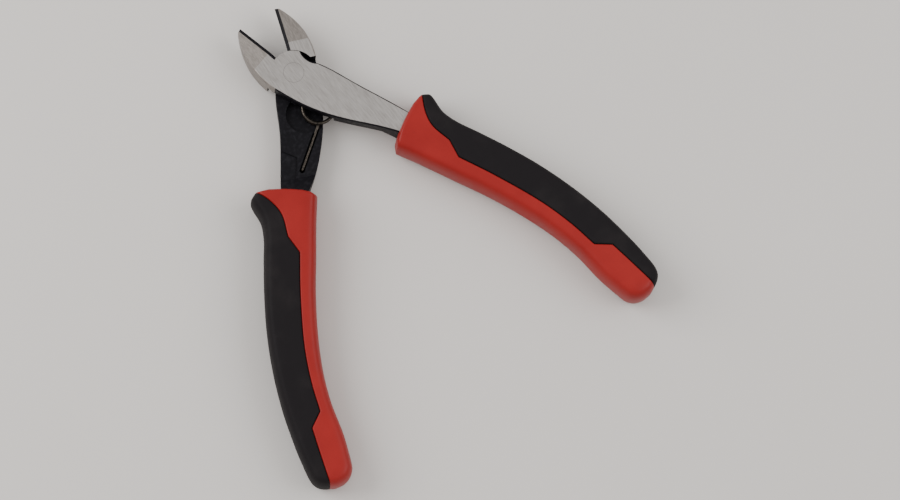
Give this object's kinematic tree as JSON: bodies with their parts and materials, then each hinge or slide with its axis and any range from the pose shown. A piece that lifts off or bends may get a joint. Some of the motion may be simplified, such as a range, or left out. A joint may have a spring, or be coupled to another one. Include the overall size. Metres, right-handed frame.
{
  "type": "diagonal cutting pliers",
  "caption": "Diagonal cutting pliers with a riveted lap joint, ground jaws, a torsion return spring and two-colour moulded grips.",
  "frame": {"origin": "the rivet's axis, on the joint's ground back face", "axes": "+Z along the rivet's axis, from the back face to the front face; +Y along the centre line, from the rivet to the jaws; +X to the handle of the front half"},
  "size_m": [0.1272, 0.1402, 0.0138],
  "materials": {
    "ground_steel": "ground faces, black oxide sides",
    "rivet_steel": "ground flush with the joint",
    "spring_steel": "drawn wire",
    "red_plastic": "satin moulded",
    "black_rubber": "fine matt texture"
  },
  "bodies": {
    "front_assembly": {"front_half": "ground_steel", "pivot_rivet": "rivet_steel", "return_spring": "spring_steel", "right_grip_sleeve": "red_plastic", "right_grip_cover": "black_rubber"},
    "back_assembly": {"back_half": "ground_steel", "left_grip_sleeve": "red_plastic", "left_grip_cover": "black_rubber"}
  },
  "joints": [
    {"name": "pivot", "type": "hinge", "parent": "front_assembly", "child": "back_assembly", "pos_m": [0, 0, 0.0045], "axis": [0, 0, 1], "range_deg": [-6, 32.8], "stiffness_Nm_per_rad": 0.6, "deforming": ["return_spring"]}
  ]
}
